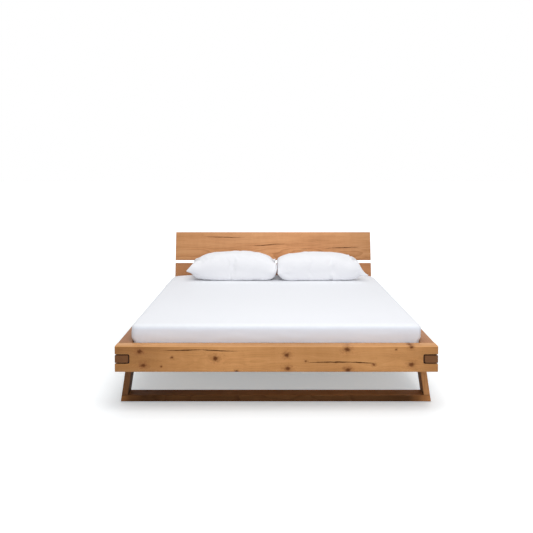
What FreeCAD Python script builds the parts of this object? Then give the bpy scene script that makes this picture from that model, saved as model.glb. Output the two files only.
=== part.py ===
import FreeCAD, Part
import Sketcher
import os
import re

# Beam bed: heavy oak beams on two splayed leg frames, with a raked two-plank headboard.
# Millimetres. +Z is up, the foot end faces -Y, and the origin lies on the floor under the
# middle of the whole bed. Left and right are as seen from the foot end.

SIZES = {
    # Lying area and mattress
    "inner_width": 1800,
    "inner_length": 2010,
    "mattress_gap": 3,
    "mattress_height": 200,
    "mattress_sink": 90,
    "mattress_corner": 30,
    "mattress_edge": 28,
    "soft_gap": 0.3,
    # Beams and their corner joints
    "beam_depth": 90,
    "beam_height": 160,
    "beam_underside": 265,
    "beam_arris": 4,
    "tenon_height": 60,
    "tongue_width": 50,
    "tongue_length": 80,
    "joint_nick": 4,
    # Headboard
    "headboard_inset": 0,
    "plank_thickness": 40,
    "lower_plank": 205,
    "upper_plank": 259,
    "plank_slit": 26,
    "plank_shadow_gap": 2,
    "plank_arris": 3,
    "lean_angle": 11.6,
    "strut_spread": 1100,
    "strut_thickness": 45,
    "strut_depth": 75,
    "strut_lift": 15,
    "strut_drop": 45,
    # Leg frames
    "leg_setback": 234,
    "leg_depth": 114,
    "post_thickness": 40,
    "leg_bar_thickness": 40,
    "foot_spread": 40,
    "leg_arris": 2,
    "plate_width": 80,
    "plate_length": 168,
    "plate_thickness": 5,
    "glide_thickness": 3,
    "glide_diameter": 50,
    "glide_inset": 70,
    # Slats and what carries them
    "slat_width": 80,
    "slat_thickness": 18,
    "slat_margin": 65,
    "slat_end_gap": 3,
    "slat_arris": 3,
    "cleat_width": 40,
    "cleat_height": 40,
    "cleat_end_gap": 85,
    "centre_beam_width": 60,
    "centre_beam_height": 40,
    "centre_post_width": 60,
    # Steel fittings inside the frame
    "bracket_leg": 80,
    "bracket_height": 42,
    "bracket_drop": 2,
    "bracket_thickness": 5,
    "hanger_width": 120,
    "hanger_height": 40,
    "hanger_ledge": 45,
    "hanger_thickness": 4,
    # Screws
    "small_screw": 5,
    "small_head": 9,
    "slat_screw_length": 38,
    "bracket_screw_length": 50,
    "cleat_screw_length": 70,
    "hanger_screw_length": 45,
    "hanger_lift_length": 30,
    "leg_screw": 6,
    "leg_head": 12,
    "leg_screw_length": 60,
    "bar_screw_length": 90,
    "strut_screw": 8,
    "strut_head": 16,
    "strut_bite": 55,
    "plank_bite": 25,
    "post_screw_length": 90,
    # Pillows as filled: crown and belly are measured from the plane of the seam
    "pillow_width": 790,
    "pillow_depth": 400,
    "pillow_crown": 145,
    "pillow_belly": 100,
    "pillow_seam": 10,
    "pillow_draw_in": 16,
    "pillow_sink": 12,
    "pillow_gap": 4,
    "pillow_offset": 32,
    "pillow_setback": 28,
}

SLAT_COUNT = 14
CLEAT_SCREW_COUNT = 7

# Where fasteners and glides sit, as shares of the piece that holds them
BRACKET_SCREW_SHARES = (0.4, 0.8)
STRUT_SCREW_SHARES = (0.3, 0.75)
PLANK_SCREW_SHARES = (0.25, 0.7)
GLIDE_SHARES = (-1, -1 / 3, 1 / 3, 1)
PILLOW_SECTION_SHARES = (-1, -0.94, -0.8, -0.5, 0, 0.5, 0.8, 0.94, 1)

# Sizes that follow from the named ones above
DERIVED = {
    "frame_width": "inner_width + 2 * beam_depth",
    "frame_length": "inner_length + 2 * beam_depth",
    "overall_length": "frame_length + strut_depth",
    "rail_top": "beam_underside + beam_height",
    "foot_face": "-overall_length / 2",
    "foot_inner": "foot_face + beam_depth",
    "head_inner": "foot_inner + inner_length",
    "head_face": "head_inner + beam_depth",
    "slat_top": "rail_top - mattress_sink",
    "cleat_top": "slat_top - slat_thickness",
    "slat_pitch": "(inner_length - 2 * slat_margin - slat_width) / (slat_count - 1)",
    "notch_low": "(beam_height - tenon_height) / 2",
    "notch_high": "notch_low + tenon_height",
    "mattress_top": "slat_top + soft_gap + mattress_height",
    "headboard_width": "inner_width - 2 * headboard_inset",
    "plank_seat": "(plank_thickness * sin(lean_angle) + plank_shadow_gap) / cos(lean_angle)",
    "slit_low": "plank_seat + lower_plank",
    "slit_high": "slit_low + plank_slit",
    "plank_top": "slit_high + upper_plank",
    "headboard_top": "rail_top + plank_top * cos(lean_angle)",
    "leg_slope": "foot_spread / beam_underside",
    "leg_top_x": "(frame_width - beam_depth) / 2",
    "bar_low": "glide_thickness",
    "bar_high": "glide_thickness + leg_bar_thickness",
    "post_high": "beam_underside - plate_thickness",
    "front_leg_y": "foot_face + leg_setback",
    "rear_leg_y": "head_face - leg_setback - leg_depth",
    "bracket_low": "beam_underside + bracket_drop",
    "centre_beam_low": "cleat_top - centre_beam_height",
}

document = FreeCAD.newDocument("BeamBed")
sheet = document.addObject("Spreadsheet::Sheet", "Sizes")
for row, (name, number) in enumerate(SIZES.items(), start=1):
    sheet.set(f"A{row}", name)
    sheet.set(f"B{row}", str(number))
    sheet.setAlias(f"B{row}", name)
document.recompute()


def formula(text):
    """A formula of plain size names, as an expression on the cells of the sheet."""

    def cell(match):
        word = match.group(0)
        if word in SIZES:
            return "Sizes." + word
        if word in DERIVED:
            return "(" + formula(DERIVED[word]) + ")"
        if word == "slat_count":
            return str(SLAT_COUNT)
        return word

    return re.sub(r"[a-z_]+", cell, str(text))


def value(text):
    """What a formula of size names comes to, as a number."""
    found = sheet.evalExpression(formula(text))
    return float(getattr(found, "Value", found))


def point(*texts):
    return FreeCAD.Vector(*[value(text) for text in texts])


# The ways the pieces are made

NODES = []


def keep(thing, label):
    """Names a finished piece, which then has a file of its own."""
    thing.Label = label
    NODES.append(thing)
    return thing


def put(thing, place):
    """Ties the position of a piece to the sheet."""
    for axis, text in zip("xyz", place):
        thing.setExpression("Placement.Base." + axis, formula(text))
    return thing


def body_from_outline(name, plane, corners, length, place):
    """A body padded from a closed outline. The pad runs towards +X, +Y or +Z."""
    body = document.addObject("PartDesign::Body", name + "_body")
    base_plane = next(f for f in body.Origin.OriginFeatures if f.Role == plane)
    sketch = body.newObject("Sketcher::SketchObject", name + "_sketch")
    sketch.AttachmentSupport = [(base_plane, "")]
    sketch.MapMode = "FlatFace"
    spots = [FreeCAD.Vector(value(a), value(b), 0) for a, b in corners]
    count = len(spots)
    for index, spot in enumerate(spots):
        sketch.addGeometry(Part.LineSegment(spot, spots[(index + 1) % count]), False)
    for index in range(count):
        after = (index + 1) % count
        sketch.addConstraint(Sketcher.Constraint("Coincident", index, 2, after, 1))
    for index, texts in enumerate(corners):
        for kind, text in zip(("DistanceX", "DistanceY"), texts):
            held = Sketcher.Constraint(kind, -1, 1, index, 1, value(text))
            number = sketch.addConstraint(held)
            sketch.setExpression(f"Constraints[{number}]", formula(text))
    pad = body.newObject("PartDesign::Pad", name + "_pad")
    pad.Profile = sketch
    pad.setExpression("Length", formula(length))
    pad.Reversed = plane == "XZ_Plane"
    put(body, place)
    document.recompute()
    return body


def ease(body, radius, picks, kind="Fillet"):
    """Rounds or chamfers the edges of a body that the test picks."""
    last = body.Tip
    names = [f"Edge{n}" for n, edge in enumerate(last.Shape.Edges, 1) if picks(edge)]
    eased = body.newObject("PartDesign::" + kind, body.Name + "_" + kind.lower())
    eased.Base = (last, names)
    eased.setExpression("Radius" if kind == "Fillet" else "Size", formula(radius))
    body.Tip = eased
    document.recompute()
    return body


def runs_along(axis):
    """A test for straight edges along an axis, 0 for X, 1 for Y, 2 for Z."""

    def picks(edge):
        along = edge.tangentAt(edge.FirstParameter)
        return abs(along[axis]) > 1 - 1e-6

    return picks


def box(name, sizes, place):
    """A rectangular piece with its low corner at the place."""
    thing = document.addObject("Part::Box", name)
    for side, text in zip(("Length", "Width", "Height"), sizes):
        thing.setExpression(side, formula(text))
    return put(thing, place)


def screw(diameter, head, length):
    """A countersunk wood screw, from the middle of its head along +Z."""
    shank_radius = value(diameter) / 2
    head_radius = value(head) / 2
    head_height = head_radius - shank_radius
    cone = Part.makeCone(head_radius, shank_radius, head_height)
    shank = Part.makeCylinder(shank_radius, value(length))
    return cone.fuse(shank).removeSplitter()


def screws(name, items):
    """One node of like screws. Each item is a screw, its head's place and its direction."""
    placed = []
    for shape, place, direction in items:
        turn = FreeCAD.Rotation(FreeCAD.Vector(0, 0, 1), FreeCAD.Vector(*direction))
        copy = shape.copy()
        copy.Placement = FreeCAD.Placement(point(*place), turn)
        placed.append(copy)
    group = document.addObject("Part::Feature", name)
    group.Shape = Part.makeCompound(placed)
    group.Placement = FreeCAD.Placement()
    return keep(group, name)


def drilled(blank, label, *tools):
    """The blank with the seats of the pieces that are let into it."""
    if len(tools) > 1:
        tool = document.addObject("Part::Compound", label + "_seats")
        tool.Links = list(tools)
    else:
        tool = tools[0]
    cut = document.addObject("Part::Cut", label + "_cut")
    cut.Base = blank
    cut.Tool = tool
    return keep(cut, label)


TO_FOOT = (0, -1, 0)
UP = (0, 0, 1)
DOWN = (0, 0, -1)
SIDES = (("left", -1), ("right", 1))
ENDS = (("front", 1), ("head", -1))


# Corner tenons of dark oak, which lock the cross beams to the side beams


def corner_tenon(label, side, end):
    """A head as deep as the cross beam, with a tongue for the side beam's mortise."""
    half = "beam_depth / 2"
    tongue = "tongue_width / 2"
    reach = "beam_depth + tongue_length"
    corners = [
        (f"-{half}", 0),
        (half, 0),
        (half, "beam_depth"),
        (tongue, "beam_depth"),
        (tongue, reach),
        (f"-{tongue}", reach),
        (f"-{tongue}", "beam_depth"),
        (f"-{half}", "beam_depth"),
    ]
    outer_y = "foot_face" if end > 0 else "head_face"
    place = (f"{side} * leg_top_x", outer_y, "beam_underside + notch_low")
    body = body_from_outline(label, "XY_Plane", corners, "tenon_height", place)
    half_depth = value(half)

    def shows(edge):
        room = edge.BoundBox
        on_front = room.YMax < half_depth
        at_end = room.XLength < half_depth and room.XMin * room.XMax > value(tongue) ** 2
        return on_front or (at_end and room.YLength > half_depth)

    ease(body, "joint_nick / 2", shows, "Chamfer")
    if end < 0:
        body.Placement.Rotation = FreeCAD.Rotation(FreeCAD.Vector(0, 0, 1), 180)
    return keep(body, label)


tenons = {}
for end_name, end in ENDS:
    for side_name, side in SIDES:
        label = f"corner_tenon_{end_name}_{side_name}"
        tenons[end_name, side_name] = corner_tenon(label, side, end)


# Screws that hold the steel corner brackets to the beams

bracket_items = []
for end_name, end in ENDS:
    inner_y = "foot_inner" if end > 0 else "head_inner"
    for side_name, side in SIDES:
        for share in BRACKET_SCREW_SHARES:
            along = f"{share} * bracket_leg"
            height = "bracket_low + bracket_height / 2"
            piece = screw("small_screw", "small_head", "bracket_screw_length")
            in_cross = (
                f"{side} * (inner_width / 2 - {along})",
                f"{inner_y} + {end} * bracket_thickness",
                height,
            )
            in_side = (
                f"{side} * (inner_width / 2 - bracket_thickness)",
                f"{inner_y} + {end} * {along}",
                height,
            )
            bracket_items.append((piece, in_cross, (0, -end, 0)))
            bracket_items.append((piece, in_side, (side, 0, 0)))
bracket_screws = screws("bracket_screws", bracket_items)


# Slat places, counted from the foot end


def slat_middle(index):
    return f"(foot_inner + slat_margin + slat_width / 2 + {index} * slat_pitch)"


slat_items = []
for index in range(SLAT_COUNT):
    for side_name, side in SIDES:
        place = (
            f"{side} * (inner_width - cleat_width) / 2",
            slat_middle(index),
            "slat_top",
        )
        slat_items.append((screw("small_screw", "small_head", "slat_screw_length"), place, DOWN))
slat_screws = screws("slat_screws", slat_items)


# Cleats screwed along the side beams between the slats' own screws

cleat_screw_items = []
for count in range(CLEAT_SCREW_COUNT):
    between = f"({slat_middle(2 * count)} + slat_pitch / 2)"
    for side_name, side in SIDES:
        place = (
            f"{side} * (inner_width / 2 - cleat_width)",
            between,
            "cleat_top - cleat_height / 2",
        )
        piece = screw("small_screw", "small_head", "cleat_screw_length")
        cleat_screw_items.append((piece, place, (side, 0, 0)))
cleat_screws = screws("cleat_screws", cleat_screw_items)


# Leg screws: two up through each plate, two down into each post

leg_items = []
bar_items = []
for end_name, leg_y in (("front", "front_leg_y"), ("rear", "rear_leg_y")):
    for side_name, side in SIDES:
        middle_x = f"{side} * leg_top_x"
        middle_y = f"({leg_y} + leg_depth / 2)"
        foot_x = f"{side} * (leg_top_x + (beam_underside - bar_high) * leg_slope)"
        for way in (-1, 1):
            plate_y = f"{middle_y} + {way} * (plate_length + leg_depth) / 4"
            post_y = f"{middle_y} + {way} * leg_depth / 4"
            up = screw("leg_screw", "leg_head", "leg_screw_length")
            leg_items.append((up, (middle_x, plate_y, "post_high"), UP))
            leg_items.append((up, (middle_x, post_y, "beam_underside"), DOWN))
            long_up = screw("leg_screw", "leg_head", "bar_screw_length")
            bar_items.append((long_up, (foot_x, post_y, "bar_low"), UP))
leg_screws = screws("leg_plate_screws", leg_items)
bar_screws = screws("leg_bar_screws", bar_items)


# Screws of the centre beam's hangers and of its post

hanger_items = []
for end_name, end in ENDS:
    inner_y = "foot_inner" if end > 0 else "head_inner"
    wall_y = f"{inner_y} + {end} * hanger_thickness"
    for way in (-1, 1):
        aside = f"{way} * (hanger_width + centre_beam_width) / 4"
        middle_z = "centre_beam_low + hanger_height / 2 - hanger_thickness"
        piece = screw("small_screw", "small_head", "hanger_screw_length")
        hanger_items.append((piece, (aside, wall_y, middle_z), (0, -end, 0)))
    ledge_y = f"{inner_y} + {end} * (hanger_thickness + hanger_ledge) / 2"
    lift = screw("small_screw", "small_head", "hanger_lift_length")
    hanger_items.append((lift, (0, ledge_y, "centre_beam_low - hanger_thickness"), UP))
hanger_screws = screws("hanger_screws", hanger_items)

centre_y = "((foot_inner + head_inner) / 2)"
post_items = []
for way in (-1, 1):
    place = (f"{way} * centre_post_width / 4", centre_y, "cleat_top")
    post_items.append((screw("small_screw", "small_head", "post_screw_length"), place, DOWN))
post_screws = screws("centre_post_screws", post_items)


# Headboard screws: through the raked struts into the head beam and into the planks


def strut_front(height):
    """How far behind the head beam's back face the raked front of a strut lies."""
    lean = f"({height} - rail_top) * tan(lean_angle)"
    return f"(plank_thickness / cos(lean_angle) - beam_depth + {lean})"


strut_items = []
plank_items = []
for side_name, side in SIDES:
    strut_x = f"{side} * strut_spread / 2"
    back = "head_face + strut_depth"
    for share in STRUT_SCREW_SHARES:
        reach = "strut_depth + strut_bite"
        place = (strut_x, back, f"beam_underside + {share} * beam_height")
        strut_items.append((screw("strut_screw", "strut_head", reach), place, TO_FOOT))
    for low, wide in (("plank_seat", "lower_plank"), ("slit_high", "upper_plank")):
        for share in PLANK_SCREW_SHARES:
            height = f"(rail_top + ({low} + {share} * {wide}) * cos(lean_angle))"
            reach = f"strut_depth - {strut_front(height)} + plank_bite"
            piece = screw("small_screw", "small_head", reach)
            plank_items.append((piece, (strut_x, back, height), TO_FOOT))
strut_screws = screws("strut_screws", strut_items)
plank_screws = screws("plank_screws", plank_items)


# Cross beams at the foot and the head, with an open notch at each end


def cross_beam(label, face_y, *tools):
    half = "frame_width / 2"
    inside = "(frame_width / 2 - beam_depth)"
    mouth = "(frame_width / 2 - joint_nick)"
    right = [
        (half, 0),
        (half, "notch_low - joint_nick"),
        (mouth, "notch_low"),
        (inside, "notch_low"),
        (inside, "notch_high"),
        (mouth, "notch_high"),
        (half, "notch_high + joint_nick"),
        (half, "beam_height"),
    ]
    left = [(f"-{across}", height) for across, height in reversed(right)]
    place = (0, face_y, "beam_underside")
    body = body_from_outline(label, "XZ_Plane", right + left, "beam_depth", place)
    long_enough = value("inner_width")
    ease(body, "beam_arris", lambda edge: runs_along(0)(edge) and edge.Length > long_enough)
    return drilled(body, label, *tools)


cross_beam("front_beam", "foot_face", bracket_screws, hanger_screws)
cross_beam("head_beam", "head_inner", bracket_screws, hanger_screws, strut_screws)


# Side beams between the cross beams, mortised for the tenons' tongues

for side_name, side in SIDES:
    label = f"side_beam_{side_name}"
    half = "beam_depth / 2"
    outline = [(f"-{half}", 0), (half, 0), (half, "beam_height"), (f"-{half}", "beam_height")]
    place = (f"{side} * leg_top_x", "foot_inner", "beam_underside")
    body = body_from_outline(label, "XZ_Plane", outline, "inner_length", place)
    ease(body, "beam_arris", runs_along(1))
    mates = [tenons["front", side_name], tenons["head", side_name]]
    drilled(body, label, *mates, bracket_screws, cleat_screws, leg_screws)


# Steel brackets in the four inner corners, below the slats

for end_name, end in ENDS:
    inner_y = "foot_inner" if end > 0 else "head_inner"
    for side_name, side in SIDES:
        leg = f"(-{side} * bracket_leg)"
        thin = f"(-{side} * bracket_thickness)"
        outline = [
            (0, 0),
            (leg, 0),
            (leg, f"{end} * bracket_thickness"),
            (thin, f"{end} * bracket_thickness"),
            (thin, f"{end} * bracket_leg"),
            (0, f"{end} * bracket_leg"),
        ]
        label = f"corner_bracket_{end_name}_{side_name}"
        place = (f"{side} * inner_width / 2", inner_y, "bracket_low")
        body = body_from_outline(label, "XY_Plane", outline, "bracket_height", place)
        drilled(body, label, bracket_screws)


# Headboard planks, laid back on the struts with a slit between them


def plank(label, low, wide):
    half = "headboard_width / 2"
    outline = [
        (f"-{half}", low),
        (half, low),
        (half, f"{low} + {wide}"),
        (f"-{half}", f"{low} + {wide}"),
    ]
    place = (0, "head_inner", "rail_top")
    body = body_from_outline(label, "XZ_Plane", outline, "plank_thickness", place)
    ease(body, "plank_arris", lambda edge: True)
    body.Placement.Rotation = FreeCAD.Rotation(FreeCAD.Vector(-1, 0, 0), value("lean_angle"))
    body.setExpression("Placement.Rotation.Angle", formula("lean_angle"))
    return drilled(body, label, plank_screws)


plank("headboard_lower_plank", "plank_seat", "lower_plank")
plank("headboard_upper_plank", "slit_high", "upper_plank")

for side_name, side in SIDES:
    label = f"headboard_strut_{side_name}"
    top = "(headboard_top - strut_drop)"
    outline = [
        (0, "beam_underside + strut_lift"),
        ("strut_depth", "beam_underside + strut_lift"),
        ("strut_depth", top),
        (strut_front(top), top),
        (strut_front("rail_top"), "rail_top"),
        (0, "rail_top"),
    ]
    place = (f"{side} * strut_spread / 2 - strut_thickness / 2", "head_face", 0)
    body = body_from_outline(label, "YZ_Plane", outline, "strut_thickness", place)
    drilled(body, label, strut_screws, plank_screws)


# Leg frames: a flat bar on the floor and two posts splayed outwards under the side beams


def post_outer(height):
    """Half the width over the posts' outer faces at a height."""
    return f"(leg_top_x + post_thickness / 2 + (beam_underside - {height}) * leg_slope)"


def post_inner(height):
    return f"({post_outer(height)} - post_thickness)"


def runs_steeply(edge):
    along = edge.tangentAt(edge.FirstParameter)
    return abs(along.z) > abs(along.x) + abs(along.y)


for end_name, leg_y in (("front", "front_leg_y"), ("rear", "rear_leg_y")):
    label = f"{end_name}_leg_bar"
    outline = [
        (f"-{post_outer('bar_low')}", "bar_low"),
        (post_outer("bar_low"), "bar_low"),
        (post_outer("bar_high"), "bar_high"),
        (f"-{post_outer('bar_high')}", "bar_high"),
    ]
    body = body_from_outline(label, "XZ_Plane", outline, "leg_depth", (0, leg_y, 0))
    ease(body, "leg_arris", runs_along(0))
    drilled(body, label, bar_screws)
    for side_name, side in SIDES:
        label = f"{end_name}_post_{side_name}"
        outline = [
            (f"{side} * {post_inner('bar_high')}", "bar_high"),
            (f"{side} * {post_outer('bar_high')}", "bar_high"),
            (f"{side} * {post_outer('post_high')}", "post_high"),
            (f"{side} * {post_inner('post_high')}", "post_high"),
        ]
        body = body_from_outline(label, "XZ_Plane", outline, "leg_depth", (0, leg_y, 0))
        ease(body, "leg_arris", runs_steeply)
        drilled(body, label, bar_screws, leg_screws)
        label = f"{end_name}_leg_plate_{side_name}"
        place = (
            f"{side} * leg_top_x - plate_width / 2",
            f"{leg_y} + (leg_depth - plate_length) / 2",
            "post_high",
        )
        blank = box(label + "_blank", ("plate_width", "plate_length", "plate_thickness"), place)
        drilled(blank, label, leg_screws)


# Cleats, slats, and the centre beam with its hangers and post

for side_name, side in SIDES:
    label = f"slat_cleat_{side_name}"
    half = "cleat_width / 2"
    place = (
        f"{side} * (inner_width - cleat_width) / 2 - {half}",
        "foot_inner + cleat_end_gap",
        "cleat_top - cleat_height",
    )
    sizes = ("cleat_width", "inner_length - 2 * cleat_end_gap", "cleat_height")
    drilled(box(label + "_blank", sizes, place), label, cleat_screws, slat_screws)

for index in range(SLAT_COUNT):
    label = f"slat_{index + 1:02d}"
    half = "slat_width / 2"
    outline = [
        (f"-{half}", 0),
        (half, 0),
        (half, "slat_thickness"),
        (f"-{half}", "slat_thickness"),
    ]
    length = "inner_width - 2 * slat_end_gap"
    place = ("slat_end_gap - inner_width / 2", slat_middle(index), "cleat_top")
    body = body_from_outline(label, "YZ_Plane", outline, length, place)
    ease(body, "slat_arris", runs_along(0))
    drilled(body, label, slat_screws)

place = (
    "-centre_beam_width / 2",
    "foot_inner + hanger_thickness",
    "centre_beam_low",
)
sizes = ("centre_beam_width", "inner_length - 2 * hanger_thickness", "centre_beam_height")
drilled(box("centre_beam_blank", sizes, place), "centre_beam", hanger_screws, post_screws)

for end_name, end in ENDS:
    inner_y = "foot_inner" if end > 0 else "head_inner"
    thick = f"({end} * hanger_thickness)"
    outline = [
        (0, 0),
        (f"{end} * hanger_ledge", 0),
        (f"{end} * hanger_ledge", "hanger_thickness"),
        (thick, "hanger_thickness"),
        (thick, "hanger_height"),
        (0, "hanger_height"),
    ]
    label = f"centre_hanger_{end_name}"
    place = ("-hanger_width / 2", inner_y, "centre_beam_low - hanger_thickness")
    body = body_from_outline(label, "YZ_Plane", outline, "hanger_width", place)
    drilled(body, label, hanger_screws)

place = (
    "-centre_post_width / 2",
    f"{centre_y} - centre_post_width / 2",
    "glide_thickness",
)
sizes = ("centre_post_width", "centre_post_width", "centre_beam_low - glide_thickness")
drilled(box("centre_post_blank", sizes, place), "centre_post", post_screws)

glides = []
for leg_y in ("front_leg_y", "rear_leg_y"):
    half_bar = f"({post_outer('bar_low')} - glide_inset)"
    for share in GLIDE_SHARES:
        glides.append((f"{share} * {half_bar}", f"{leg_y} + leg_depth / 2", 0))
glides.append((0, centre_y, 0))
disc = Part.makeCylinder(value("glide_diameter") / 2, value("glide_thickness"))
felt = document.addObject("Part::Feature", "felt_glides")
felt.Shape = Part.makeCompound([disc.translated(point(*place)) for place in glides])
felt.Placement = FreeCAD.Placement()
keep(felt, "felt_glides")


# Mattress: a firm block with rounded corners and edges

half_x = "(inner_width / 2 - mattress_gap)"
half_y = "(inner_length / 2 - mattress_gap)"
outline = [
    (f"-{half_x}", f"-{half_y}"),
    (half_x, f"-{half_y}"),
    (half_x, half_y),
    (f"-{half_x}", half_y),
]
place = (0, centre_y, "slat_top + soft_gap")
mattress = body_from_outline("mattress", "XY_Plane", outline, "mattress_height", place)
ease(mattress, "mattress_corner", runs_along(2))


def is_rim(edge):
    return edge.BoundBox.ZLength < value("mattress_height / 2")


ease(mattress, "mattress_edge", is_rim)
keep(mattress, "mattress")


# Pillows: full in the middle, drawn in between their corners, flat where they rest


def pillow_section(share):
    """A lens across the pillow: a high arc over the seam and a shallower one under it."""
    swell = (1 - share**4) ** 0.8
    seam = value("pillow_seam / 2")
    over = seam + value("pillow_crown - pillow_seam / 2") * swell
    under = seam + value("pillow_belly - pillow_seam / 2") * swell
    half_deep = value("pillow_depth / 2") - value("pillow_draw_in") * (1 - share**2)
    across = share * value("pillow_width / 2")
    front = FreeCAD.Vector(across, -half_deep, 0)
    back = FreeCAD.Vector(across, half_deep, 0)
    top = Part.Arc(front, FreeCAD.Vector(across, 0, over), back)
    bottom = Part.Arc(back, FreeCAD.Vector(across, 0, -under), front)
    return Part.Wire([top.toShape(), bottom.toShape()])


def pillow_shape():
    sections = [pillow_section(share) for share in PILLOW_SECTION_SHARES]
    filled = Part.makeLoft(sections, True, False)
    draw_in = value("pillow_draw_in")
    half_deep = value("pillow_depth / 2")
    crown = value("pillow_crown")
    end_radius = (half_deep**2 + draw_in**2) / (2 * draw_in)
    for side in (-1, 1):
        away = side * (value("pillow_width / 2") + end_radius - draw_in)
        hollow = Part.makeCylinder(end_radius, 2 * crown, FreeCAD.Vector(away, 0, -crown))
        filled = filled.cut(hollow)
    rest = value("pillow_belly - pillow_sink")
    width = value("pillow_width")
    corner = FreeCAD.Vector(-width, -width, -rest)
    above = Part.makeBox(2 * width, 2 * width, 2 * crown + rest, corner)
    return filled.common(above)


seam_height = "(mattress_top + soft_gap + pillow_belly - pillow_sink)"
board_face = f"(head_inner + ({seam_height} - rail_top) * tan(lean_angle))"
for side_name, side in SIDES:
    label = f"pillow_{side_name}"
    pillow = document.addObject("Part::Feature", label)
    pillow.Shape = pillow_shape()
    place = point(
        f"pillow_offset + {side} * (pillow_width + pillow_gap) / 2",
        f"{board_face} - pillow_setback - pillow_depth / 2",
        seam_height,
    )
    pillow.Placement = FreeCAD.Placement(place, FreeCAD.Rotation())
    keep(pillow, label)


# Check every object, then write one file for each piece

document.recompute()
for thing in document.Objects:
    if "Invalid" in thing.State or "Error" in thing.State:
        raise RuntimeError(f"{thing.Label} did not build: {thing.State}")
os.makedirs("parts", exist_ok=True)
for thing in NODES:
    if thing.Shape.isNull() or not thing.Shape.isValid():
        raise RuntimeError(f"{thing.Label} has no valid shape")
for thing in NODES:
    thing.Shape.exportStep(f"parts/{thing.Label}.step")
print(len(NODES), "pieces, headboard top", round(value("headboard_top"), 1))
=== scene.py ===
import bmesh
import bpy
import math
from mathutils import Matrix, Vector, noise


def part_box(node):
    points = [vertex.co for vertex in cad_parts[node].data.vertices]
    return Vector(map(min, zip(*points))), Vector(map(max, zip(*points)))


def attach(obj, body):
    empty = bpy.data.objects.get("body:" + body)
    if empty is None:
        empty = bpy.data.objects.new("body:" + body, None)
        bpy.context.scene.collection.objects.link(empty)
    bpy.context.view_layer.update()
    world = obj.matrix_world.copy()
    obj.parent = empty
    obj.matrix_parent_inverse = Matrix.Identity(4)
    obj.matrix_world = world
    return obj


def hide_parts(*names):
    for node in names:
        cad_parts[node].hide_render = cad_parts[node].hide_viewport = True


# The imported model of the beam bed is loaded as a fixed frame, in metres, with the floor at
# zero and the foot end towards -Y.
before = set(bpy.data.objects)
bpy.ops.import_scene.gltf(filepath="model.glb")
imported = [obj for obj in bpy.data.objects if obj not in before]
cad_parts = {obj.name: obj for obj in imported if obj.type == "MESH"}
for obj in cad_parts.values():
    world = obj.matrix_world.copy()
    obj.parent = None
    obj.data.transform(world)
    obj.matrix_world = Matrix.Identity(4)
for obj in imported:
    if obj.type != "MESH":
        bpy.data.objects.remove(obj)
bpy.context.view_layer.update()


# The view. The camera stands 4.18 m before the foot of the bed, a little left of its middle
# and at the height of the eyes, and looks slightly down.

CAMERA_PLACE = (-0.059, -5.3085, 1.525)
CAMERA_PITCH = math.radians(2.129)
CAMERA_LENS = 46.547
CAMERA_SHIFT = (-0.0005, -0.14)


def into_scene(name, content):
    """Puts a mesh, a lamp or a camera into the scene."""
    placed = bpy.data.objects.new(name, content)
    bpy.context.scene.collection.objects.link(placed)
    return placed


camera = into_scene("camera", bpy.data.cameras.new("camera"))
camera.location = CAMERA_PLACE
camera.rotation_euler = (math.pi / 2 - CAMERA_PITCH, 0, 0)
camera.data.lens = CAMERA_LENS
camera.data.shift_x, camera.data.shift_y = CAMERA_SHIFT
bpy.context.scene.camera = camera
bpy.context.scene.view_settings.view_transform = "Standard"


# The studio: a pale floor that fades into a white room, one wide soft lamp overhead, a
# stronger one high before the foot of the bed and a weak one low at the front.

ROOM_LIGHT = 0.36
ROOM_COLOUR = (1.0, 1.0, 1.0, 1)
FLOOR_COLOUR = (0.87, 0.87, 0.87, 1)
FLOOR_GLOW = (0.86, 0.945, 1.0, 1)
FLOOR_LIFT = 0.350
FLOOR_FADE = (1.7, 4.0)
FLOOR_REACH = 60.0
SOFT_BOXES = (
    # name, place, what it points at, width and height, watts
    ("overhead", (0.15, 0.7, 4.4), (0, 0.5, 0), (4.0, 4.0), 73),
    ("high_front", (0.3, -2.8, 4.2), (0, -0.3, 0.3), (2.4, 2.4), 95),
    ("front", (1.4, -5.8, 2.0), (0, 0, 0.3), (2.2, 2.0), 38),
)


def wire(tree, inputs, wires):
    """Sets each named input to its value, or joins it to its socket."""
    for name, source in wires.items():
        if isinstance(source, bpy.types.NodeSocket):
            tree.links.new(source, inputs[name])
        else:
            inputs[name].default_value = source


def node(tree, kind, wires=None, **settings):
    """Adds a shader node with its settings and its wired inputs."""
    made = tree.nodes.new("ShaderNode" + kind)
    for name, setting in settings.items():
        setattr(made, name, setting)
    wire(tree, made.inputs, wires or {})
    return made


def tree_of(*terms):
    """The node tree of the sockets among the terms."""
    return next(term.id_data for term in terms if isinstance(term, bpy.types.NodeSocket))


def calc(operation, *terms, clamp=False):
    """One sum on values or sockets."""
    wires = dict(enumerate(terms))
    return node(tree_of(*terms), "Math", wires, operation=operation, use_clamp=clamp).outputs[0]


def vector_calc(operation, *terms):
    """One sum on vectors."""
    outputs = node(tree_of(*terms), "VectorMath", dict(enumerate(terms)), operation=operation).outputs
    return outputs["Value" if operation == "LENGTH" else "Vector"]


def own_place(tree):
    """The place on the piece, in metres, from its own origin."""
    return node(tree, "TexCoord").outputs["Object"]


def blank_material(name):
    """A material with its nodes cleared, and its tree."""
    material = bpy.data.materials.new(name)
    material.use_nodes = True
    material.node_tree.nodes.clear()
    return material, material.node_tree


def as_mesh(name, drawn):
    """What was drawn, as a mesh of that name."""
    mesh = bpy.data.meshes.new(name)
    drawn.to_mesh(mesh)
    drawn.free()
    return mesh


def link(name, mesh, *materials):
    """Puts a mesh into the scene as a piece with these materials."""
    for material in materials:
        mesh.materials.append(material)
    return into_scene(name, mesh)


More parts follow.
